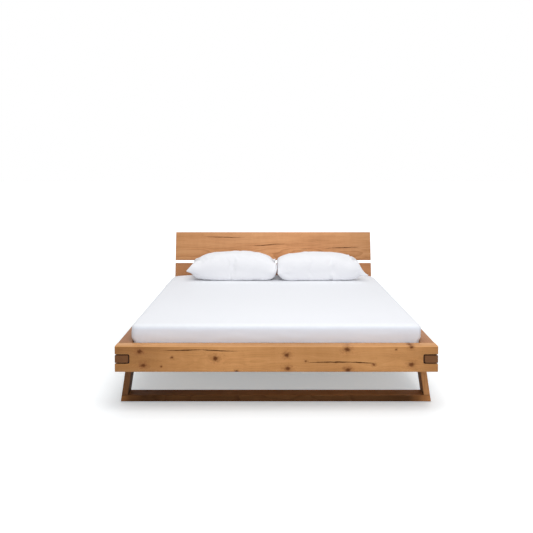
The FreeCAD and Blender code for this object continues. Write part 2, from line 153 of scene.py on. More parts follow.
def seen_rays(tree):
    """1 for rays that come from the camera or a mirror, and through glass."""
    rays = node(tree, "LightPath").outputs
    seen = calc("MAXIMUM", rays["Is Camera Ray"], rays["Is Glossy Ray"])
    return calc("MAXIMUM", seen, rays["Is Transmission Ray"])


world = bpy.data.worlds.new("white_room")
bpy.context.scene.world = world
world.use_nodes = True
world.node_tree.nodes.clear()
room = world.node_tree
lighting = node(room, "Background", {"Color": ROOM_COLOUR, "Strength": ROOM_LIGHT})
backdrop = node(room, "Background", {"Color": (1, 1, 1, 1), "Strength": 1})
shown = {0: seen_rays(room), 1: lighting.outputs[0], 2: backdrop.outputs[0]}
either = node(room, "MixShader", shown)
node(room, "OutputWorld", {"Surface": either.outputs[0]})

floor_material, tree = blank_material("pale_floor")
paint = node(tree, "BsdfPrincipled", {"Base Color": FLOOR_COLOUR, "Roughness": 0.85})
distance = vector_calc("LENGTH", own_place(tree))
near, far = FLOOR_FADE
fading = {"Value": distance, "From Min": near, "From Max": far, "To Min": FLOOR_LIFT, "To Max": 1}
fade = node(tree, "MapRange", fading).outputs[0]
lift = calc("MULTIPLY", seen_rays(tree), fade)
glow = node(tree, "Emission", {"Color": FLOOR_GLOW, "Strength": lift})
both = node(tree, "AddShader", {0: paint.outputs[0], 1: glow.outputs[0]})
node(tree, "OutputMaterial", {"Surface": both.outputs[0]})

flat = bmesh.new()
bmesh.ops.create_grid(flat, x_segments=8, y_segments=8, size=FLOOR_REACH)
floor = link("floor", as_mesh("floor", flat), floor_material)

for name, place, target, (wide, high), watts in SOFT_BOXES:
    lamp = bpy.data.lights.new(name, "AREA")
    lamp.shape = "RECTANGLE"
    lamp.size, lamp.size_y = wide, high
    lamp.energy = watts
    holder = into_scene(name, lamp)
    holder.location = place
    holder.rotation_euler = (Vector(target) - Vector(place)).to_track_quat("-Z", "Y").to_euler()


# The front beam: one solid knotty oak timber of 90 by 160 mm, planed and oiled, its arrises
# eased by hand. It has dried with two long cracks, and its ends are notched for the tenons.

BEAM_EASE = 0.006
SMALL_EASE = 0.0015
LONG_EDGE = 1.0
SHARP_ANGLE = 0.7
NOTCH_LOW, NOTCH_HIGH = 0.050, 0.110
NOTCH_ROUND = 0.010
CORNER_STEPS = 4
OAK_PALE = (0.66, 0.340, 0.135, 1)
OAK_MID = (0.56, 0.265, 0.088, 1)
OAK_DEEP = (0.37, 0.155, 0.042, 1)
KNOT_HEART = (0.088, 0.018, 0.0, 1)
KNOT_HALO = (0.25, 0.085, 0.018, 1)
# The walls of the cracks are coloured dark brown, as painted shade inside them.
CRACK_PAINTED_SHADE = (0.110, 0.040, 0.012, 1)
# How dark the oiled beam is along its face and its top: a place and a share of the colour.
# Part of it is the oak's own tone and part is painted light, falling off towards the ends and
# set apart for the face and the top.
FRONT_TONES = (
    (-1.0, 0.58), (-0.8, 0.66), (-0.6, 0.89), (-0.3, 1.08), (0.0, 0.93), (0.3, 0.82), (0.6, 0.96),
    (0.8, 0.96), (1.0, 0.72),
)
FRONT_TOP_TONES = ((-1.0, 1.05), (-0.75, 1.17), (-0.45, 0.96), (0.2, 0.80), (0.6, 1.02), (1.0, 1.11))
FRONT_WARMTH = 0.4
# Each knot: its place along the beam, its height on the beam and its radius
FRONT_KNOTS = (
    (-0.838, 0.1270, 0.0175),
    (-0.814, 0.0420, 0.0170),
    (-0.705, 0.0350, 0.0062),
    (-0.638, 0.0905, 0.0075),
    (-0.374, 0.0850, 0.0175),
    (-0.243, 0.0050, 0.0090),
    (0.063, 0.1060, 0.0165),
    (0.070, 0.0210, 0.0170),
    (0.180, 0.0685, 0.0068),
    (0.433, 0.1410, 0.0175),
    (0.438, 0.0150, 0.0175),
    (0.598, 0.0450, 0.0085),
    (0.731, 0.1400, 0.0055),
    (0.826, 0.1540, 0.0120),
    (0.827, 0.0470, 0.0165),
)
CRACK_STEPS = 14
CRACK_PROUD = 0.004
# Each crack: points along and up the face, the widest gap and the depth
FRONT_CRACKS = (
    (((-0.700, 0.1345), (-0.60, 0.1350), (-0.50, 0.1365), (-0.448, 0.1400)), 0.0070, 0.022),
    (((-0.480, 0.1400), (-0.42, 0.1365), (-0.33, 0.1310), (-0.230, 0.1290)), 0.0070, 0.020),
    (((0.185, 0.0600), (0.300, 0.0620), (0.400, 0.0625), (0.470, 0.0630)), 0.0084, 0.024),
    (((0.410, 0.0635), (0.480, 0.0610), (0.540, 0.0580), (0.612, 0.0545)), 0.0072, 0.020),
)


def settle(piece, angle=32):
    """Applies what modifiers made of the piece, and shades it smooth but for its sharp edges."""
    bpy.context.view_layer.update()
    seen = piece.evaluated_get(bpy.context.evaluated_depsgraph_get())
    mesh = bpy.data.meshes.new_from_object(seen)
    piece.modifiers.clear()
    piece.data = mesh
    mesh.polygons.foreach_set("use_smooth", [True] * len(mesh.polygons))
    mesh.set_sharp_from_angle(angle=math.radians(angle))
    return piece


def ease(drawn, edges, by, segments):
    """Rounds edges off."""
    edges = list(edges)
    return bmesh.ops.bevel(drawn, geom=edges, offset=by, segments=segments, profile=0.5, affect="EDGES")


def cut_timber(name, outline, depth, easing, *materials):
    """A timber sawn to an outline of x and z, its front at y = 0, with its edges eased."""
    timber = bmesh.new()
    front = [timber.verts.new((x, 0, z)) for x, z in outline]
    back = [timber.verts.new((x, depth, z)) for x, z in outline]
    timber.faces.new(front)
    timber.faces.new(reversed(back))
    for index in range(len(outline)):
        after = (index + 1) % len(outline)
        timber.faces.new((front[after], front[index], back[index], back[after]))
    bmesh.ops.recalc_face_normals(timber, faces=timber.faces)
    ease(timber, [edge for edge in timber.edges if edge.calc_length() > LONG_EDGE], easing, 3)
    ease(timber, [edge for edge in timber.edges if edge.calc_face_angle() > SHARP_ANGLE], SMALL_EASE, 2)
    return link(name, as_mesh(name, timber), *materials)


def crack_wedge(wedges, points, gap, depth, face):
    """A ragged wedge along the points, drawn on a face: x along it, z across and y inwards."""
    stations = []
    for (x0, z0), (x1, z1) in zip(points, points[1:]):
        for step in range(CRACK_STEPS):
            share = step / CRACK_STEPS
            stations.append((x0 + (x1 - x0) * share, z0 + (z1 - z0) * share))
    stations.append(points[-1])
    rings = []
    for index, (x, z) in enumerate(stations):
        share = index / (len(stations) - 1)
        ragged = noise.noise(Vector((x * 90, z * 40, depth * 900)))
        open_by = math.sin(math.pi * min(max(share, 0.012), 0.988)) ** 0.75
        half = gap / 2 * open_by * (1 + 0.45 * ragged)
        stray = 0.0016 * noise.noise(Vector((x * 35, z * 20, 3)))
        down = depth * open_by * (1 + 0.3 * ragged)
        lips = z + stray + half, z + stray - half
        corners = ((x, -CRACK_PROUD, lips[0]), (x, down, z + stray * 2), (x, -CRACK_PROUD, lips[1]))
        rings.append([wedges.verts.new(face @ Vector(corner)) for corner in corners])
    for ring, after in zip(rings, rings[1:]):
        for k in range(3):
            wedges.faces.new((ring[k], ring[(k + 1) % 3], after[(k + 1) % 3], after[k]))
    wedges.faces.new(rings[0])
    wedges.faces.new(reversed(rings[-1]))


def open_cracks(timber, cracks, wall_shade):
    """Cuts drying cracks into a timber. Each one gives its points, gap, depth and face."""
    wedges = bmesh.new()
    for points, gap, depth, face in cracks:
        crack_wedge(wedges, points, gap, depth, face)
    bmesh.ops.recalc_face_normals(wedges, faces=wedges.faces)
    mesh = as_mesh("wedges", wedges)
    # The walls of the cracks take the dark colour, as painted shade.
    mesh.polygons.foreach_set("material_index", [1] * len(mesh.polygons))
    timber.data.materials.append(wall_shade)
    cutter = link("wedges", mesh, timber.data.materials[0], wall_shade)
    cut = timber.modifiers.new("cracks", "BOOLEAN")
    cut.operation, cut.solver, cut.object, cut.use_self = "DIFFERENCE", "EXACT", cutter, True
    settle(timber)
    bpy.data.objects.remove(cutter)
    return timber


def group(name, inputs, outputs):
    """An empty node group with float or vector inputs, and its tree and end nodes."""
    made = bpy.data.node_groups.new(name, "ShaderNodeTree")
    for label, start in inputs.items():
        kind = "NodeSocketVector" if label in ("Place", "Middle") else "NodeSocketFloat"
        socket = made.interface.new_socket(label, in_out="INPUT", socket_type=kind)
        if kind == "NodeSocketFloat":
            socket.default_value = start
    for label in outputs:
        made.interface.new_socket(label, in_out="OUTPUT", socket_type="NodeSocketFloat")
    return made, made.nodes.new("NodeGroupInput").outputs, made.nodes.new("NodeGroupOutput")


def split(vector):
    """The three parts of a vector."""
    return node(vector.id_data, "SeparateXYZ", {0: vector}).outputs


def joined(*parts):
    """A vector from three parts."""
    return node(tree_of(*parts), "CombineXYZ", dict(enumerate(parts))).outputs[0]


def stretched_noise(place, seed, stretch, detail=2.0, rough=0.5):
    """Noise that is drawn out along the grain: its scale along, across and through."""
    scaled = vector_calc("MULTIPLY", place, stretch)
    wires = {"Vector": scaled, "W": seed, "Scale": 1, "Detail": detail, "Roughness": rough}
    return node(place.id_data, "TexNoise", wires, noise_dimensions="4D").outputs["Fac"]


def grade(value, low, high, to_low=0.0, to_high=1.0):
    """The value from low to high, laid out smoothly from to_low to to_high."""
    wires = {"Value": value, "From Min": low, "From Max": high, "To Min": to_low, "To Max": to_high}
    return node(value.id_data, "MapRange", wires, interpolation_type="SMOOTHSTEP").outputs[0]


def shifted(value, middle, by, start):
    """The start, moved by a share of how far the value is from its middle."""
    return calc("MULTIPLY_ADD", calc("SUBTRACT", value, middle), by, start)


# Figure of a timber: growth rings round a pith that runs along the board, fibres and pores
figure, given, made = group(
    "timber_figure",
    {"Place": 0, "Seed": 1, "Ring": 0.005, "Rings": 0.5, "Fibres": 0.4, "Clouds": 0.5,
     "Across": 0.0, "Through": 0.03, "Wander": 0.012, "Push": 0.0},
    ("Tone", "Relief"),
)
place, seed = given["Place"], given["Seed"]
swing = calc("MULTIPLY", given["Wander"], 4)
parts = split(place)
wander = stretched_noise(place, seed, (1.3, 2.5, 2.5), 2)
across = calc("SUBTRACT", shifted(wander, 0.5, swing, parts["Z"]), given["Push"])
across = calc("SUBTRACT", across, given["Across"])
wander = stretched_noise(place, calc("ADD", seed, 7.3), (1.9, 3, 3), 2)
through = calc("SUBTRACT", shifted(wander, 0.5, swing, parts["Y"]), given["Through"])
from_pith = joined(0.0, through, across)
uneven = stretched_noise(from_pith, seed, (0, 26, 26), 1)
radius = calc("MULTIPLY_ADD", uneven, 0.012, vector_calc("LENGTH", from_pith))
turn = calc("FRACT", calc("DIVIDE", radius, given["Ring"]))
rings = calc("MULTIPLY", calc("POWER", turn, 2.2), grade(turn, 0.90, 1.0, 1.0, 0.0))
bent = joined(parts["X"], through, across)
fibres = stretched_noise(bent, seed, (3.2, 260, 260), 3, 0.6)
clouds = stretched_noise(bent, seed, (1.6, 14, 14), 3, 0.55)
cross = stretched_noise(place, seed, (24, 7, 7), 2, 0.5)
pores = grade(stretched_noise(bent, seed, (42, 900, 900), 1, 0.4), 0.60, 0.72)
tone = shifted(rings, 0.3, given["Rings"], 0.5)
for part, share in ((fibres, given["Fibres"]), (clouds, given["Clouds"]), (cross, 0.22)):
    tone = shifted(part, 0.5, share, tone)
tone = calc("MULTIPLY_ADD", pores, 0.16, tone, clamp=True)
relief = calc("SUBTRACT", calc("MULTIPLY", fibres, 0.5), calc("MULTIPLY", pores, 0.8))
relief = calc("MULTIPLY_ADD", rings, 0.25, relief)
wire(figure, made.inputs, {"Tone": tone, "Relief": relief})

# A knot: a dark heart in a reddish halo, round which the grain is pushed aside
knot_group, given, made = group("knot", {"Place": 0, "Middle": 0, "Radius": 0.01}, ("Heart", "Halo", "Push"))
away = vector_calc("SUBTRACT", given["Place"], given["Middle"])
distance = vector_calc("LENGTH", vector_calc("MULTIPLY", away, (0.76, 0, 1)))
blur = stretched_noise(given["Place"], given["Radius"], (52, 30, 64), 3, 0.65)
ragged = calc("MULTIPLY_ADD", blur, 2.7, -0.32)
share = calc("DIVIDE", calc("MULTIPLY", distance, ragged), given["Radius"])
height = split(away)["Z"]
near = grade(share, 0.0, 5.5, 1.0, 0.0)
wire(knot_group, made.inputs, {
    "Heart": grade(share, 0.22, 1.04, 1.0, 0.0),
    "Halo": grade(share, 0.6, 2.3, 1.0, 0.0),
    "Push": calc("MULTIPLY", calc("MULTIPLY", near, height), 0.62),
})


def use_group(tree, content, wires):
    """Places a node group in a tree and returns its outputs."""
    placed = tree.nodes.new("ShaderNodeGroup")
    placed.node_tree = content
    wire(tree, placed.inputs, wires)
    return placed.outputs


def mixed(share, first, second, blend="MIX"):
    """A colour between two colours."""
    tree = tree_of(share, first, second)
    mixer = node(tree, "Mix", {"Factor": share}, data_type="RGBA", blend_type=blend)
    wire(tree, mixer.inputs, {6: first, 7: second})
    return mixer.outputs[2]


def bumped(height, strength, reach):
    """The normals of a relief that reaches so far out of the surface."""
    wires = {"Height": height, "Strength": strength, "Distance": reach}
    return node(height.id_data, "Bump", wires).outputs[0]


def set_surface(tree, wires):
    """Ends a material in one surface with these values and sockets."""
    surface = node(tree, "BsdfPrincipled", wires)
    node(tree, "OutputMaterial", {"Surface": surface.outputs[0]})


def toned_along(colour, place, tones, warmth):
    """The colour at its share for each place along the grain, and warmer where it is darker."""
    tree = place.id_data
    first, last = tones[0][0], tones[-1][0]
    x = split(place)["X"]
    along = node(tree, "MapRange", {"Value": x, "From Min": first, "From Max": last}).outputs[0]
    ramp = node(tree, "ValToRGB", {"Fac": along})
    ramp.color_ramp.interpolation = "EASE"
    stops = ramp.color_ramp.elements
    for index, (spot, share) in enumerate(tones):
        at = (spot - first) / (last - first)
        stop = stops[0] if index == 0 else stops[-1] if index == len(tones) - 1 else stops.new(at)
        stop.position, stop.color = at, (share ** (1 - 0.4 * warmth), share, share ** (1 + warmth), 1)
    return mixed(1.0, colour, ramp.outputs["Color"], "MULTIPLY")


def timber_material(name, pale, mid, deep, grain="X", knots=(), seed=1.0, rough=(0.42, 0.60),
                    shine=0.32, end_deep=0.55, tones=(), top_tones=(), warmth=0.0, arris_wear_and_light=0.0,
                    painted_shade_side=(), **figured):
    """Oiled timber, its grain along one axis of the piece. Knots give x, z and a radius, tones
    places and shares of the colour, which paint light and shade along the piece as well as its
    own tone, and top tones the same for its upper faces; warmth says how much redder the darker
    places are. The arris share pales its upper arrises, partly as wear and partly as a painted
    highlight, and darkens its lower arrises as painted shade. The shaded side gives an axis, a
    way along it and the share of the colour that is left on the face that looks that way, which
    is painted shade."""
    material, tree = blank_material(name)
    coordinates = node(tree, "TexCoord").outputs
    order = {"X": "XYZ", "Y": "YXZ", "Z": "ZYX"}[grain]
    turned = []
    for source in ("Object", "Normal"):
        axes = split(coordinates[source])
        turned.append(joined(*(axes[letter] for letter in order)))
    place, facing = turned
    hearts, halos, pushes = 0.0, 0.0, 0.0
    for x, z, radius in knots:
        found = use_group(tree, knot_group, {"Place": place, "Middle": (x, 0, z), "Radius": radius})
        hearts = calc("MAXIMUM", hearts, found["Heart"])
        halos = calc("MAXIMUM", halos, found["Halo"])
        pushes = calc("ADD", pushes, found["Push"])
    found = use_group(tree, figure, {"Place": place, "Seed": seed, "Push": pushes, **figured})
    ramp = node(tree, "ValToRGB", {"Fac": found["Tone"]})
    stops = ramp.color_ramp.elements
    stops[0].position, stops[0].color = 0.15, pale
    stops[1].position, stops[1].color = 0.90, deep
    stops.new(0.48).color = mid
    colour = ramp.outputs["Color"]
    sides = split(facing)
    flat_y, flat_z = (calc("ABSOLUTE", sides[letter]) for letter in "YZ")
    # Painted light on the arrises: the upper ones are paled, partly as wear and partly as a painted
    # highlight, and the lower ones are darkened as painted shade.
    if arris_wear_and_light:
        arris = grade(calc("MINIMUM", flat_y, flat_z), 0.25, 0.55)
        upper = grade(sides["Z"], -0.1, 0.1, 0.0, arris_wear_and_light)
        lower = grade(sides["Z"], -0.1, 0.1, arris_wear_and_light, 0.0)
        colour = mixed(calc("MULTIPLY", arris, upper), colour, pale)
        colour = mixed(calc("MULTIPLY", arris, lower), colour, deep)
    if tones:
        upper = toned_along(colour, place, top_tones or tones, warmth)
        colour = toned_along(colour, place, tones, warmth)
        colour = mixed(grade(flat_z, 0, 1), colour, upper)
    # Painted shade: the faces that look the given way keep only a share of their colour.
    if painted_shade_side:
        axis, way, share = painted_shade_side
        inner = grade(calc("MULTIPLY", sides[axis], way), 0.3, 0.8, 1.0, share)
        colour = mixed(inner, (0, 0, 0, 1), colour)
    if knots:
        colour = mixed(calc("MULTIPLY", halos, 0.50), colour, KNOT_HALO)
        colour = mixed(calc("MULTIPLY", hearts, 0.85), colour, KNOT_HEART)
    ends = grade(calc("ABSOLUTE", sides["X"]), 0.6, 0.95)
    colour = mixed(calc("MULTIPLY", ends, end_deep), colour, deep)
    gloss = grade(found["Tone"], 0, 1, *rough)
    height = found["Relief"]
    if knots:
        height = calc("MULTIPLY_ADD", hearts, -0.7, height)
        gloss = calc("MULTIPLY_ADD", hearts, 0.4, gloss, clamp=True)
    set_surface(tree, {
        "Base Color": colour, "Roughness": gloss, "Specular IOR Level": shine,
        "Normal": bumped(height, 0.35, 0.0012),
    })
    return material


def mottled_material(name, first, second, seed, stretch, detail, uneven, rough, relief=(), **fixed):
    """A finish that is finely uneven in its tone and, where these are given, gloss and relief."""
    material, tree = blank_material(name)
    spots = stretched_noise(own_place(tree), seed, stretch, detail, uneven)
    wires = {"Base Color": mixed(spots, first, second), "Roughness": rough, **fixed}
    if isinstance(rough, tuple):
        wires["Roughness"] = grade(spots, 0.2, 0.8, *rough)
    if relief:
        wires["Normal"] = bumped(spots, *relief)
    set_surface(tree, wires)
    return material


def times(colour, by):
    """A colour made paler or darker."""
    return tuple(by * part for part in colour[:3]) + (1,)


def knot_splits(knots, face, least=0.009):
    """Short splits across the hearts of the larger knots."""
    splits = []
    for x, z, radius in knots:
        if radius < least:
            continue
        for turn in (0.35, 1.9):
            turn += 9 * x
            reach = Vector((math.cos(turn), math.sin(turn))) * radius * 0.62
            ends = ((x - reach.x, z - reach.y), (x + reach.x * 0.2, z + reach.y * 0.2))
            splits.append((ends, 0.0014, 0.005, face))
    return splits


FRONT_FACE = Matrix()
low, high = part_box("front_beam")
BEAM_LENGTH, BEAM_DEPTH, BEAM_HEIGHT = high - low


def rounded_corner(x, z, way):
    """Points round the inner corner of a notch, from below upwards or the other way."""
    turns = [math.pi / 2 * step / CORNER_STEPS for step in range(CORNER_STEPS + 1)]
    inward, up = NOTCH_ROUND, way * NOTCH_ROUND
    return [(x + inward * (1 - math.sin(turn)), z + up * (1 - math.cos(turn))) for turn in turns]


def notched_outline():
    """The outline of a cross beam, with an open notch at each end, from its middle."""
    half = BEAM_LENGTH / 2
    inside = half - BEAM_DEPTH
    notch = rounded_corner(inside, NOTCH_LOW, 1) + rounded_corner(inside, NOTCH_HIGH, -1)[::-1]
    right = [(half, 0), (half, NOTCH_LOW), *notch, (half, NOTCH_HIGH), (half, BEAM_HEIGHT)]
    return right + [(-x, z) for x, z in reversed(right)]


# The dark colour of the crack walls is painted shade.
crack_shade_oak = mottled_material(
    "oak_crack", CRACK_PAINTED_SHADE, times(CRACK_PAINTED_SHADE, 2.4), 4.0, (60, 300, 300), 2, 0.5, 0.9,
    **{"Specular IOR Level": 0.1},
)
oak_front = timber_material(
    "oak_front_beam", OAK_PALE, OAK_MID, OAK_DEEP, knots=FRONT_KNOTS, seed=3.1, tones=FRONT_TONES,
    top_tones=FRONT_TOP_TONES, warmth=FRONT_WARMTH, arris_wear_and_light=0.9, Ring=0.0062, Rings=0.12,
    Fibres=0.42, Clouds=0.85, Wander=0.016, Across=0.070, Through=0.085,
)
front_beam = cut_timber("front_beam_timber", notched_outline(), BEAM_DEPTH, BEAM_EASE, oak_front)
cracks = [crack + (FRONT_FACE,) for crack in FRONT_CRACKS] + knot_splits(FRONT_KNOTS, FRONT_FACE)
open_cracks(front_beam, cracks, crack_shade_oak)
front_beam.location = (0, low.y, low.z)
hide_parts("front_beam")
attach(front_beam, "frame")


# The head beam: the same timber at the other end, turned round. It is seen from behind only,
# under the headboard, so its knots and cracks are on its back face.

HEAD_KNOTS = (
    (-0.70, 0.105, 0.012), (-0.36, 0.040, 0.010), (0.09, 0.118, 0.013), (0.41, 0.055, 0.009),
    (0.79, 0.030, 0.012),
)
HEAD_CRACKS = (
    (((-0.60, 0.071), (-0.42, 0.074), (-0.22, 0.069), (-0.08, 0.073)), 0.0050, 0.020),
    (((0.20, 0.098), (0.42, 0.094), (0.66, 0.097)), 0.0042, 0.017),
)


def back_face(y):
    """The face towards +Y."""
    return Matrix.Translation((0, y, 0)) @ Matrix.Scale(-1, 4, (0, 1, 0))


low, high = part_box("head_beam")
oak_head = timber_material(
    "oak_head_beam", OAK_PALE, OAK_MID, OAK_DEEP, knots=HEAD_KNOTS, seed=8.4,
    arris_wear_and_light=0.6, Ring=0.0058, Rings=0.20, Fibres=0.38, Clouds=0.8, Wander=0.014, Across=0.060, Through=0.02,
)
head_beam = cut_timber("head_beam_timber", notched_outline(), BEAM_DEPTH, BEAM_EASE, oak_head)
behind = back_face(BEAM_DEPTH)
cracks = [crack + (behind,) for crack in HEAD_CRACKS] + knot_splits(HEAD_KNOTS, behind)
open_cracks(head_beam, cracks, crack_shade_oak)
head_beam.location = (0, low.y, low.z)
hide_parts("head_beam")
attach(head_beam, "frame")


# The side beams: two oak timbers between the cross beams, of the same section. Each is drawn
# along x and turned, so that its outer face looks away from the bed.

SIDE_KNOTS = (
    (-0.78, 0.095, 0.012), (-0.52, 0.030, 0.008), (-0.21, 0.112, 0.010), (0.05, 0.055, 0.013),
    (0.38, 0.022, 0.009), (0.56, 0.120, 0.012), (0.86, 0.070, 0.010),
)
SIDE_CRACKS = (
    (((-0.70, 0.062), (-0.52, 0.066), (-0.33, 0.060), (-0.16, 0.063)), 0.0052, 0.020),
    (((0.18, 0.100), (0.36, 0.095), (0.52, 0.098)), 0.0045, 0.018),
    (((0.46, 0.047), (0.66, 0.044), (0.82, 0.049)), 0.0035, 0.014),
)
TOP_CRACKS = (
    (((-0.60, 0.036), (-0.40, 0.040), (-0.18, 0.037)), 0.0032, 0.012),
    (((0.30, 0.055), (0.50, 0.052), (0.64, 0.056)), 0.0028, 0.010),
)
RAIL_PALE = (0.430, 0.203, 0.094, 1)
RAIL_MID = (0.360, 0.155, 0.063, 1)
RAIL_DEEP = (0.240, 0.092, 0.032, 1)
# The left side beam keeps a smaller share of its colour than the right one, as painted shade.
RAIL_PAINTED_SHADE = {"left": 0.87, "right": 1.0}


def top_face(z):
    """The upper face, where what is drawn as z runs along y."""
    return Matrix(((1, 0, 0, 0), (0, 0, 1, 0), (0, -1, 0, z), (0, 0, 0, 1)))


for side, way in (("left", -1), ("right", 1)):
    low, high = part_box("side_beam_" + side)
    length = high.y - low.y
    knots = [(way * x, z, radius) for x, z, radius in SIDE_KNOTS]
    oak_side = timber_material(
        "oak_side_beam_" + side, RAIL_PALE, RAIL_MID, RAIL_DEEP, knots=knots, seed=12.5 + 3 * way,
        tones=((-1.1, RAIL_PAINTED_SHADE[side]), (1.1, RAIL_PAINTED_SHADE[side])), arris_wear_and_light=0.6, Ring=0.0055, Rings=0.25,
        Fibres=0.45, Clouds=0.8, Wander=0.016, Across=0.055, Through=0.075,
    )
    outline = [(length / 2, 0), (length / 2, BEAM_HEIGHT), (-length / 2, BEAM_HEIGHT), (-length / 2, 0)]
    beam = cut_timber(f"side_beam_{side}_timber", outline, BEAM_DEPTH, BEAM_EASE, oak_side)
    cracks = [
        ([(way * x, z) for x, z in points], gap, depth, face)
        for drawn, face in ((SIDE_CRACKS, FRONT_FACE), (TOP_CRACKS, top_face(BEAM_HEIGHT)))
        for points, gap, depth in drawn
    ]
    open_cracks(beam, cracks + knot_splits(knots, FRONT_FACE), crack_shade_oak)
    beam.rotation_euler.z = way * math.pi / 2
    beam.location = (high.x if way > 0 else low.x, (low.y + high.y) / 2, low.z)
    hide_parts("side_beam_" + side)
    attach(beam, "frame")


# The corner tenons: blocks of dark smoked oak that fill the notches. Each is framed by a groove
# on its two outer faces, whose floor is coloured near-black as painted shade, and its tongue goes
# into the side beam's mortise.

TENON_PALE = (0.210, 0.090, 0.032, 1)
TENON_MID = (0.165, 0.066, 0.022, 1)
TENON_DEEP = (0.095, 0.036, 0.012, 1)
# The floor of the groove is coloured near-black, as painted shade.
GROOVE_PAINTED_SHADE = (0.032, 0.013, 0.007, 1)
GROOVE_WIDTH = 0.0080
GROOVE_DEPTH = 0.010
TENON_PLAY = 0.0003
TENON_ROUND = 0.006
TENON_EASE = 0.002
TONGUE_WIDTH = 0.050

smoked = timber_material(
    "smoked_oak", TENON_PALE, TENON_MID, TENON_DEEP, seed=21.0, Ring=0.004, Rings=0.45,
    Fibres=0.55, Clouds=0.5, Wander=0.01, end_deep=0.1, shine=0.2,
)
groove_shade = timber_material("painted_shade_groove", *[GROOVE_PAINTED_SHADE] * 3, seed=22.0, rough=(0.7, 0.85))


def inner_edge(edge, lowest):
    """Whether an edge runs along y on the side of a block that lies inside the notch."""
    first, second = (vert.co for vert in edge.verts)
    return max(abs(first.x - lowest.x), abs(second.x - lowest.x)) < 1e-6 < abs(first.y - second.y)


def solid_box(block, lowest, highest, slot, round_by=0.0):
    """A box in a block. It is rounded where it lies inside the notch, and slot 0 is eased."""
    made = bmesh.ops.create_cube(block, size=1)["verts"]
    lowest, highest = Vector(lowest), Vector(highest)
    for vert in made:
        vert.co = [low + (high - low) * (part + 0.5) for low, high, part in zip(lowest, highest, vert.co)]
    faces = {face for vert in made for face in vert.link_faces}
    for face in faces:
        face.material_index = slot
    if round_by:
        edges = {edge for vert in made for edge in vert.link_edges if inner_edge(edge, lowest)}
        cut = ease(block, edges, round_by, CORNER_STEPS)
        faces = {face for face in faces if face.is_valid} | set(cut["faces"])
    if slot == 0:
        edges = {edge for face in faces for edge in face.edges if edge.calc_face_angle(0) > SHARP_ANGLE}
        ease(block, edges, TENON_EASE, 2)


for end, toward in (("front", -1), ("head", 1)):
    for side, way in (("left", -1), ("right", 1)):
        label = f"corner_tenon_{end}_{side}"
        low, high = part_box(label)
        # drawn for the front right corner: the outer faces are y = 0 and x = BEAM_DEPTH
        block = bmesh.new()
        height = high.z - low.z
        tongue = (BEAM_DEPTH - TONGUE_WIDTH) / 2
        upper = BEAM_DEPTH - GROOVE_DEPTH, BEAM_DEPTH, height - TENON_PLAY
        solid_box(block, (TENON_PLAY, GROOVE_DEPTH, TENON_PLAY), upper, 1, NOTCH_ROUND)
        upper = BEAM_DEPTH, BEAM_DEPTH - GROOVE_DEPTH, height - GROOVE_WIDTH
        solid_box(block, (GROOVE_WIDTH, 0, GROOVE_WIDTH), upper, 0, TENON_ROUND)
        solid_box(block, (tongue, BEAM_DEPTH, 0), (tongue + TONGUE_WIDTH, high.y - low.y, height), 1)
        mesh = as_mesh(label, block)
        tenon = link(label + "_block", mesh, smoked, groove_shade)
        mesh.transform(Matrix.Diagonal((way, -toward, 1, 1)))
        if way * toward > 0:
            mesh.flip_normals()
        corner_x = low.x if way > 0 else high.x
        corner_y = low.y if toward < 0 else high.y
        tenon.location = (corner_x, corner_y, low.z)
        settle(tenon)
        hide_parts(label)
        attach(tenon, "frame")


# The leg frames: two flat bars on the floor, each with two posts that splay outwards under
# the side beams. They are planed oak with a dark stain, screwed together from below.

BAR_PALE = (0.64, 0.305, 0.120, 1)
BAR_MID = (0.51, 0.225, 0.080, 1)
BAR_DEEP = (0.31, 0.125, 0.040, 1)
# The bar is much darker along its middle, as painted shade under the bed, and paler towards its
# ends, as painted light; its top is toned apart for how light falls on it. The posts are darker
# at their very foot and much darker at their tops, as painted shadow of the beam.
BAR_TONES = (
    (-1.0, 0.60), (-0.93, 0.26), (-0.85, 0.17), (-0.6, 0.24), (-0.4, 0.22), (-0.1, 0.28),
    (0.6, 0.24), (0.85, 0.19), (0.91, 0.45), (0.96, 0.90), (1.0, 1.0),
)
BAR_TOP_TONES = (
    (-1.0, 0.70), (-0.93, 0.36), (-0.85, 0.28), (0.0, 0.61), (0.5, 0.70), (0.8, 0.67), (1.0, 0.9),
)
POST_TONES = ((0.0, 0.40), (0.043, 0.40), (0.049, 1.0), (0.20, 0.92), (0.235, 0.50), (0.27, 0.30))
# The left posts get darker colours than the right ones: one stain, painted as shaded on the left and lit on
# the right.
POST_COLOURS = {
    "left": ((0.28, 0.134, 0.059, 1), (0.21, 0.095, 0.040, 1), (0.104, 0.046, 0.019, 1)),
    "right": ((0.70, 0.355, 0.150, 1), (0.57, 0.271, 0.108, 1), (0.31, 0.136, 0.050, 1)),
}
STAIN_SHINE = 0.12
STAIN_ROUGH = (0.6, 0.75)

bar_oak = timber_material(
    "stained_oak_bar", BAR_PALE, BAR_MID, BAR_DEEP, seed=31.0, tones=BAR_TONES, shine=STAIN_SHINE,
    top_tones=BAR_TOP_TONES, warmth=0.1, rough=STAIN_ROUGH, Ring=0.006, Rings=0.4, Fibres=0.6,
    Clouds=0.7, Wander=0.02, Across=-0.05, Through=0.1,
)
post_oak = {}
for side, colours in POST_COLOURS.items():
    # Each post's inner face is darkened as painted shade under the bed.
    post_oak[side] = timber_material(
        "stained_oak_post_" + side, *colours, grain="Z", seed=34.0, tones=POST_TONES, shine=STAIN_SHINE,
        rough=STAIN_ROUGH, painted_shade_side=("Z", 1 if side == "left" else -1, 0.45), Ring=0.005, Rings=0.4,
        Fibres=0.7, Clouds=0.7, Wander=0.01, Across=0.6, Through=-0.2,
    )


def dress(label, material):
    """Gives a piece of the frame that keeps its shape its finish."""
    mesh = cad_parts[label].data
    mesh.materials.clear()
    mesh.materials.append(material)


